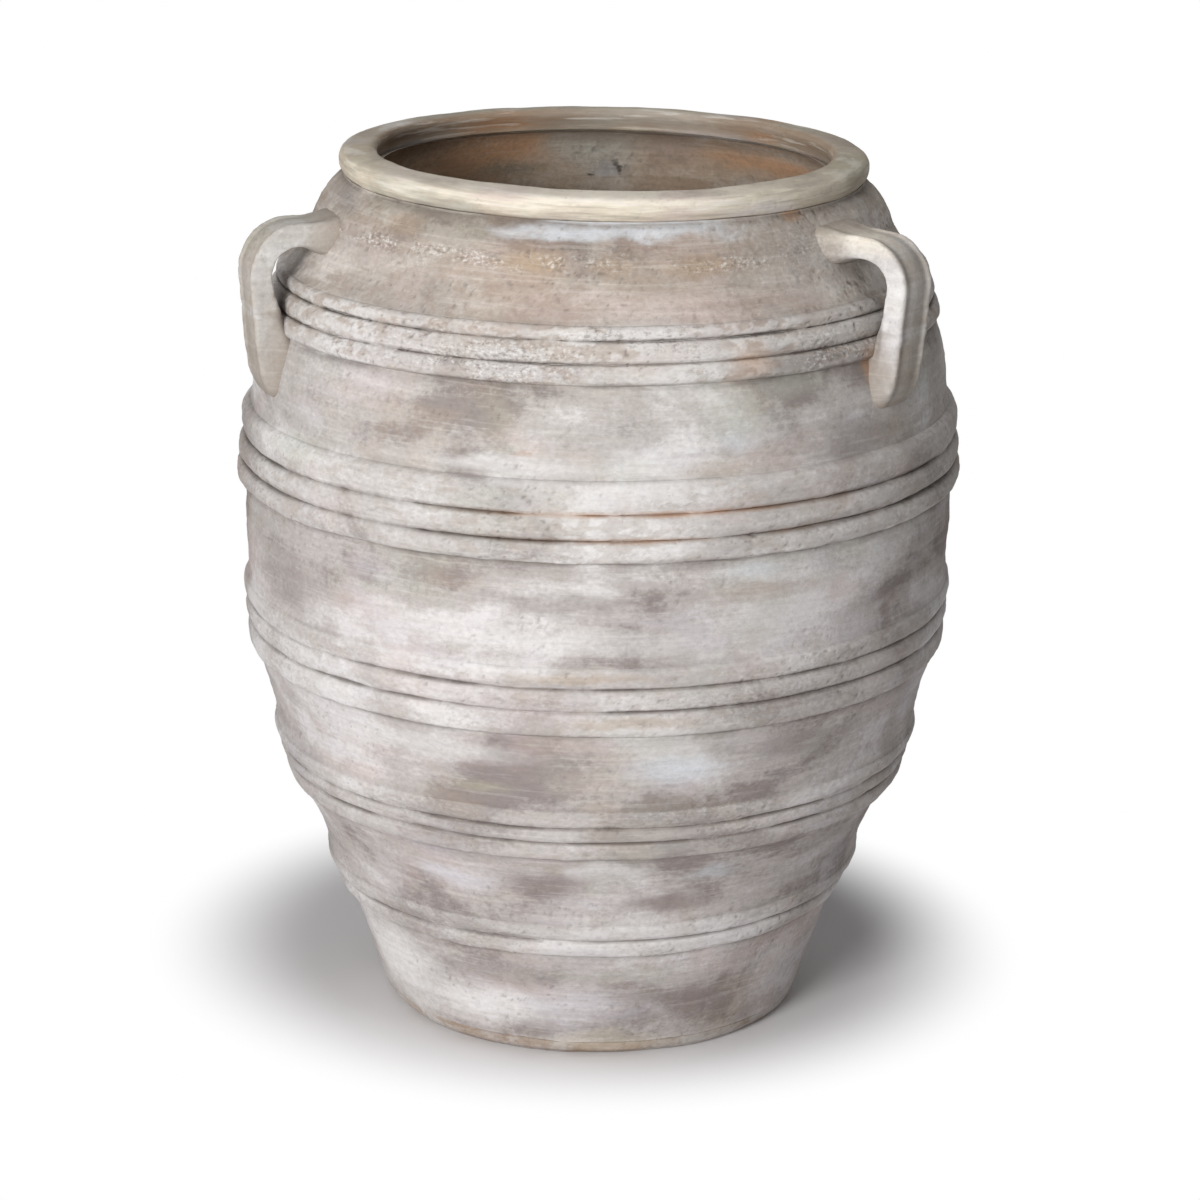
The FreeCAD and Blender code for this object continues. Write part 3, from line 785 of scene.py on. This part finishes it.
handleStainsAndPaintedLight = [
    (-38, 0.600, 0.030, 0.018, "orange", 0.6), (-33, 0.765, 0.040, 0.016, "ochre", 0.35),
    (-166, 0.735, 0.050, 0.026, "green", 0.5), (-150, 0.745, 0.030, 0.020, "pink", 0.4),
    # -44 at 0.690: white painted highlight on the right handle's lit front
    (-44, 0.690, 0.040, 0.090, "white", 0.85), (-42, 0.768, 0.080, 0.022, "butter", 0.9),
    # -27 at 0.700: brown painted shade down the right handle's right side
    (-38, 0.680, 0.016, 0.040, "lilac", 0.5), (-27, 0.700, 0.018, 0.090, "brown", 0.85),
]
grooveStain = (-80, 0.538, 0.170, 0.030)  # here the belly band's grooves show bare clay
stainRadius = 0.3          # every stain is placed on a jar of this radius
stainEdge = (1.25, 0.25)   # where a stain starts and where it is full, as a share of its size
raggedness = (0.07, 0.07, 0.035)  # how far noise moves its outline

tints = {  # patches of other tones: scale, seed and strength
    "pink": ((7, 7, 12), 21, 0.45),
    "green": ((7, 7, 13), 22, 0.35),
    "ochre": ((9, 9, 15), 23, 0.28),
    "lilac": ((8, 8, 15), 24, 0.45),
}
tintNoise = {"detail": 4.0, "rough": 0.6}
grainNoise = {"detail": 4.0, "seed": 13, "rough": 0.65}
clayNoise = {  # scale, detail, seed and roughness of each pattern, and the bend of one
    "ragged": ((17, 17, 30), 4.0, 10, 0.6),
    "patch": ((6, 6, 11), 5.0, 11, 0.52, 0.6),
    "streak": ((8, 8, 60), 4.0, 12, 0.62),
    "drip": ((45, 45, 8), 4.0, 27, 0.6),
    "scab": ((260, 260, 380), 4.0, 25, 0.6),
    "scabPatch": ((8, 8, 22), 4.0, 26, 0.6),
    "crumbs": ((22, 22, 60), 3.0, 28, 0.6),
    "speck": (210, 3.0, 16, 0.6),
    "kept": ((13, 13, 70), 5.0, 17, 0.6),
    "brushed": ((13, 13, 240), 4.0, 29, 0.6),
    "fine": ((260, 260, 420), 4.0, 18, 0.65),
    "coarse": ((25, 25, 160), 3.0, 19),
}
wearShares = {"patch": 0.70, "streak": 0.12, "drip": 0.09, "grain": 0.09}
fades = {  # from where to where a pattern turns into a mark
    "midTone": (0.41, 0.495),
    "highTone": (0.49, 0.605),
    "tint": (0.53, 0.68),
    "bare": (0.42, 0.56),
    "smear": (0.3, 0.6),
    "scabPatch": (0.50, 0.64),
    "crumbs": (0.46, 0.56),
    "scabPale": (0.53, 0.62),
    "scabDark": (0.46, 0.38),
    "speck": (0.68, 0.76),
    "kept": (0.33, 0.60),
    "brushDark": (0.50, 0.66),
    "brushPale": (0.48, 0.34),
}
levels = {  # from where to where something happens, as heights
    "warm": (0.60, 0.74),
    "cool": (0.56, 0.42),
    "worn": (0.793, 0.799),
    # where the painted shade on the rim's inner face fades in
    "throat": (0.762, 0.782),
    "smearTop": (0.788, 0.773),
    "smearFoot": (0.754, 0.770),
    "strapFront": (0.760, 0.740),
    "scabs": (0.55, 0.68),
    "ridgeFoot": (0.733, 0.741),
    "ridgeTop": (0.753, 0.746),
}
strengths = {  # how much of what lies under a mark it covers
    "bare": 0.92,
    "smear": (0.2, 0.3),     # everywhere, and more of it in streaks
    "roots": 0.9,
    "strapFront": 0.7,
    "flake": 0.5,
    "pit": 0.6,
    "scabs": (0.4, 0.6),     # everywhere, and more of them high up
    "scabPale": 0.55,
    "scabDark": 0.5,
    "speck": 0.3,
    "filled": 0.8,
    "shade": (0.8, 0.4),     # darkest grain, and how much lighter the palest is
}
claySkin = {"rough": 0.92, "shine": 0.2, "bump": 0.45, "bumpDepth": 0.001, "scabBump": 2.0}
clayMarks = ("pit", "flake", "soilAndShade", "filled", "inner", "wallward", "outer")


class ClayGraph(Graph):  # a clay's tree, with what every step of it reads
    def __init__(self, tree, look):
        super().__init__(tree)
        self.look = look
        self.place = self.add("ShaderNodeTexCoord").out("Object")
        height = self.part(self.place, 2)
        self.at = {key: height.fade(*ends) for key, ends in levels.items()}
        self.mark = {key: self.add("ShaderNodeAttribute", {"attribute_name": key}, None, "Fac")
                     for key in clayMarks}
        self.pattern = {key: self.noise(self.place, *values)
                        for key, values in clayNoise.items()}
        self.pattern["grain"] = self.noise(self.place, look["grain"], **grainNoise)
        flat = self.vector("NORMALIZE", self.vector("MULTIPLY", self.place, (1, 1, 0)))
        onJar = self.vector("MULTIPLY_ADD", flat, (stainRadius, stainRadius, 0),
                            self.joined(z=height))
        shift = self.vector("MULTIPLY_ADD", self.pattern["ragged"].out("Color"), raggedness,
                            tuple(-reach / 2 for reach in raggedness))
        self.around = self.vector("ADD", onJar, shift)

    def shown(self, key, fade=None):
        return self.pattern[key].fade(*fades[fade or key])

    def mix(self, share, first, second, blend="MIX"):
        first = (*first, 1) if isinstance(first, tuple) else first
        second = (*second, 1) if isinstance(second, tuple) else second
        return self.add("ShaderNodeMix", {"data_type": "RGBA", "blend_type": blend}, {
            0: share, 6: first, 7: second}, out=2)

    def stainShare(self, angle, level, halfWidth, halfHeight):  # how much of a stain lies here
        turn = math.radians(angle)
        centre = (stainRadius * math.cos(turn), stainRadius * math.sin(turn), level)
        away = self.vector("MULTIPLY", self.vector("SUBTRACT", self.around, centre),
                           (1 / halfWidth, 1 / halfWidth, 1 / halfHeight))
        return self.vector("LENGTH", away).out("Value").fade(*stainEdge)


def limeWash(g):  # brushed round the jar and worn back to the mauve clay
    look, at = g.look, g.at
    parts = [g.pattern[key] * share for key, share in wearShares.items()]
    wear = parts[0]
    for part in parts[1:]:
        wear = wear + part
    wear = wear + look["lime"]
    color = g.mix(wear.fade(*fades["midTone"]), look["low"], look["mid"])
    color = g.mix(wear.fade(*fades["highTone"]), color, look["high"])
    for tone, (scale, seed, strength) in tints.items():
        share = g.noise(g.place, scale, seed=seed, **tintNoise).fade(*fades["tint"])
        color = g.mix(share * strength * look["tint"], color, tones[tone])
    color = g.mix(at["warm"] * look["warmth"], color, casts["warm"], "MULTIPLY")
    color = g.mix(at["cool"] * look["warmth"], color, casts["cool"], "MULTIPLY")
    return wear, g.mix(at["worn"] * look["worn"], color, tones["tan"])


def stainClay(g, color, wear):  # the inside has less lime and more bare clay; then the stains
    at, mark = g.at, g.mark
    inner, outside = mark["inner"], 1 - mark["inner"]
    bare = g.mix(wear.fade(*fades["bare"]), tones["sand"], tones["parchment"])
    color = g.mix(inner * strengths["bare"], color, bare)
    for stainsAndPaintedLight, part in ((g.look["stainsAndPaintedLight"], outside), (g.look["inside"], inner)):
        for *spot, tone, strength in stainsAndPaintedLight:
            color = g.mix(g.stainShare(*spot) * strength * part, color, tones[tone])
    # painted shade down the lit throat of the rim, to match the shaded inside
    color = g.mix(at["throat"] * inner, color, casts["throat"], "MULTIPLY")
    everywhere, inStreaks = strengths["smear"]
    smear = g.shown("streak", "smear") * inStreaks + everywhere
    color = g.mix(at["smearTop"] * at["smearFoot"] * inner * smear, color, tones["umber"])
    # painted shade on the handles where they meet the wall
    color = g.mix(mark["wallward"] * strengths["roots"], color, tones["rootShade"])
    strapFront = mark["outer"] * at["strapFront"]
    return g.mix(strapFront * strengths["strapFront"], color, tones["strapDirt"])


def wearClay(g, color):
    # crests keep more lime and take a painted highlight, flakes and pits show clay, and soil and
    # painted shade lie in the grooves and under the bands
    look, at, mark = g.look, g.at, g.mark
    # painted highlight and kept lime: rope clay away from the soil and painted shade is mixed
    # towards lime
    color = g.mix((1 - mark["soilAndShade"]) * look["crest"], color, tones["lime"])
    color = g.mix(mark["flake"] * strengths["flake"], color, tones["brown"])
    color = g.mix(mark["pit"] * strengths["pit"], color, tones["soilAndShade"])
    everywhere, highUp = strengths["scabs"]
    scabby = g.shown("scabPatch") * look["scab"] * (at["scabs"] * highUp + everywhere)
    ridge = at["ridgeFoot"] * at["ridgeTop"] * look["warmth"]
    scabby = scabby.most(ridge * g.shown("crumbs") * (1 - mark["inner"]))
    for tone in ("scabPale", "scabDark"):
        color = g.mix(g.shown("scab", tone) * scabby * strengths[tone], color, tones[tone])
    color = g.mix(g.shown("speck") * strengths["speck"], color, tones["soilAndShade"])
    kept = g.shown("kept") * (1 - mark["filled"] * strengths["filled"])
    # soil and painted shade in grooves, under each band and the rim, and in the handles' hollows;
    # bare orange clay in the belly band's grooves
    grooveTone = g.mix(g.stainShare(*grooveStain), tones["soilAndShade"], tones["orange"])
    color = g.mix((mark["soilAndShade"] * kept * look["soilAndShade"]).least(1.0), color, grooveTone)
    for tone in ("brushDark", "brushPale"):
        color = g.mix(g.shown("brushed", tone) * look["brushed"], color, tones[tone])
    darkest, gain = strengths["shade"]
    shade = g.pattern["grain"] * gain + darkest
    shadeTone = g.add("ShaderNodeCombineColor", None, {0: shade, 1: shade, 2: shade})
    return scabby, g.mix(1.0, color, shadeTone, "MULTIPLY")


def makeClay(name, look):
    material = bpy.data.materials.new(name)
    material.use_nodes = True
    material.node_tree.nodes.clear()
    g = ClayGraph(material.node_tree, look)
    wear, color = limeWash(g)
    scabby, color = wearClay(g, stainClay(g, color, wear))
    relief = g.pattern["fine"] + g.pattern["coarse"]
    relief = relief + g.pattern["scab"] * scabby * claySkin["scabBump"]
    bump = g.add("ShaderNodeBump", None, {
        "Height": relief, "Strength": claySkin["bump"], "Distance": claySkin["bumpDepth"]})
    surface = g.add("ShaderNodeBsdfPrincipled", None, {
        "Base Color": color, "Roughness": claySkin["rough"],
        "Specular IOR Level": claySkin["shine"], "Normal": bump})
    g.add("ShaderNodeOutputMaterial", None, {"Surface": surface})
    return material


plainLook = {
    "low": tones["mauve"],    # where the wash has gone
    "mid": tones["chalk"],
    "high": tones["lime"],    # where it is whole
    "lime": 0.0,              # how far it covers
    "tint": 0.8,
    "crest": 0.0,             # how much lighter raised clay is: lime kept on crests, and a painted highlight
    "soilAndShade": 0.8,
    "warmth": 0.0,            # how much warmer it is high up, and cooler low down
    "brushed": 0.1,
    "worn": 0.0,
    "scab": 0.3,
    "grain": (180, 180, 280),
    "stainsAndPaintedLight": [],
    "inside": [],
}
clayLooks = {  # where each clay differs from the plain look
    "weathered_terracotta": {
        "tint": 1.0, "soilAndShade": 0.85, "warmth": 1.0, "brushed": 0.15, "scab": 0.35,
        "stainsAndPaintedLight": wallStainsAndPaintedShade, "inside": insideStainsAndPaintedShade},
    "weathered_rope_clay": {
        "lime": 0.01, "crest": 0.18, "soilAndShade": 0.72, "warmth": 0.6, "brushed": 0.12, "scab": 1.0,
        "stainsAndPaintedLight": wallStainsAndPaintedShade},
    "limed_rim_clay": {
        "low": tones["rimLow"], "mid": tones["rimMid"], "high": tones["cream"], "lime": -0.02,
        "tint": 1.8, "brushed": 0.5, "worn": 0.4, "scab": 0.25, "grain": (50, 50, 420),
        "stainsAndPaintedLight": rimStains, "inside": insideStainsAndPaintedShade},
    "limed_handle_clay": {
        "low": tones["strapLow"], "mid": tones["strapMid"], "high": tones["strapHigh"],
        "grain": (190, 190, 190), "stainsAndPaintedLight": handleStainsAndPaintedLight},
    "bare_terracotta": {
        "low": tones["brown"], "lime": -0.03, "soilAndShade": 0.6, "stainsAndPaintedLight": wallStainsAndPaintedShade},
}
clays = {slot: makeClay(slot, {**plainLook, **look}) for slot, look in clayLooks.items()}
print("materials:", len(clays))

turnedTree = buildTurnedTree()
handleTree = buildHandleTree()
wallSlots = {"base_disc": "bare_terracotta", "rim": "limed_rim_clay"}
triangles = 0
for name, ownSettings in wallPieces.items():
    settings = {**plainWall, **ownSettings}
    slotName = wallSlots.get(name, "weathered_terracotta")
    rows, closed = wallRows(name, settings)
    triangles += turnPiece(name + "_clay", name, rows, closed, settings, clays[slotName])
print("walls, rim and floor:", triangles, "triangles")
for band, places in bandNames.items():
    for place in places:
        nodeName = "%s_band_%s_rope" % (band, place)
        rows = ropeRows(nodeName, ropePieces[band], place == places[0], place == places[-1])
        settings = {"columns": ropeShape["columns"], "flaking": ropePieces[band]["flaking"],
                    "relief": ropeShape["relief"]}
        triangles += turnPiece(nodeName + "_clay", nodeName, rows, True, settings,
                               clays["weathered_rope_clay"])
print("ropes:", triangles, "triangles so far")
for name in ("right_handle", "left_handle", "back_handle"):
    triangles += buildHandle(name, clays["limed_handle_clay"])
print("handles:", triangles, "triangles in all")


# Floor, light and camera

stageLook = {
    "floorSize": 60.0,
    "floorTone": (0.87, 0.855, 0.86),
    "shadowCentre": (-0.006, 0.10, 0),
    "shadowReach": (0.265, 0.43),  # from here on the floor fades to plain white, in metres
    "ambient": 0.21,
    "lamps": {  # place, size, power
        "key": ((-1.82, -3.9, 1.45), 1.6, 152),
        "top": ((-0.1, -0.75, 3.4), 1.6, 20),
    },
    "aim": (0, 0, 0.38),
}


def seenByEye(g):  # camera rays and what mirrors or glass would show
    rays = g.add("ShaderNodeLightPath")
    return rays.out("Is Camera Ray").most(rays.out("Is Glossy Ray")).most(
        rays.out("Is Transmission Ray"))


def buildStage():
    mesh = bpy.data.meshes.new("floor")
    half = stageLook["floorSize"] / 2
    mesh.from_pydata([(-half, -half, 0), (half, -half, 0), (half, half, 0), (-half, half, 0)],
                     [], [(0, 1, 2, 3)])
    floor = addObject("floor", mesh)
    material = bpy.data.materials.new("paleFloor")
    material.use_nodes = True
    material.node_tree.nodes.clear()
    g = Graph(material.node_tree)
    place = g.add("ShaderNodeTexCoord").out("Object")
    reach = g.vector("DISTANCE", place, stageLook["shadowCentre"]).out("Value")
    plain = g.add("ShaderNodeBsdfDiffuse", None, {"Color": (*stageLook["floorTone"], 1)})
    white = g.add("ShaderNodeEmission", None, {"Color": (1, 1, 1, 1), "Strength": 1.0})
    share = reach.fade(*stageLook["shadowReach"]) * seenByEye(g)
    surface = g.add("ShaderNodeMixShader", None, {0: share, 1: plain, 2: white})
    g.add("ShaderNodeOutputMaterial", None, {"Surface": surface})
    mesh.materials.append(material)
    world = bpy.data.worlds.new("paleRoom")
    bpy.context.scene.world = world
    world.use_nodes = True
    world.node_tree.nodes.clear()
    g = Graph(world.node_tree)
    light = g.add("ShaderNodeBackground", None, {
        "Color": (1, 1, 1, 1), "Strength": stageLook["ambient"]})
    white = g.add("ShaderNodeBackground", None, {"Color": (1, 1, 1, 1), "Strength": 1.0})
    shown = g.add("ShaderNodeMixShader", None, {0: seenByEye(g), 1: light, 2: white})
    g.add("ShaderNodeOutputWorld", None, {"Surface": shown})
    for name, (place, size, power) in stageLook["lamps"].items():
        lamp = bpy.data.lights.new(name, "AREA")
        lamp.shape = "DISK"
        lamp.size = size
        lamp.energy = power
        holder = addObject(name, lamp)
        holder.location = place
        toAim = Vector(stageLook["aim"]) - Vector(place)
        holder.rotation_euler = toAim.to_track_quat("-Z", "Y").to_euler()


viewpoint = {
    "place": (0, -3.508, 1.415),
    "pitch": 16.519,      # degrees below level
    "roll": 1.042,
    "fieldOfView": 17.30,
    "shift": 0.003,
}


def buildCamera():
    camera = bpy.data.cameras.new("camera")
    camera.sensor_width = 36
    camera.sensor_fit = "HORIZONTAL"
    halfWidth = camera.sensor_width / 2
    camera.lens = halfWidth / math.tan(math.radians(viewpoint["fieldOfView"] / 2))
    camera.shift_x = viewpoint["shift"]
    holder = addObject("camera", camera)
    tilt = Matrix.Rotation(math.radians(90 - viewpoint["pitch"]), 4, "X")
    roll = Matrix.Rotation(math.radians(viewpoint["roll"]), 4, "Z")
    holder.matrix_world = Matrix.Translation(viewpoint["place"]) @ tilt @ roll
    bpy.context.scene.camera = holder


buildStage()
buildCamera()
bpy.context.scene.view_settings.view_transform = "Standard"
print("stage and camera are in place")
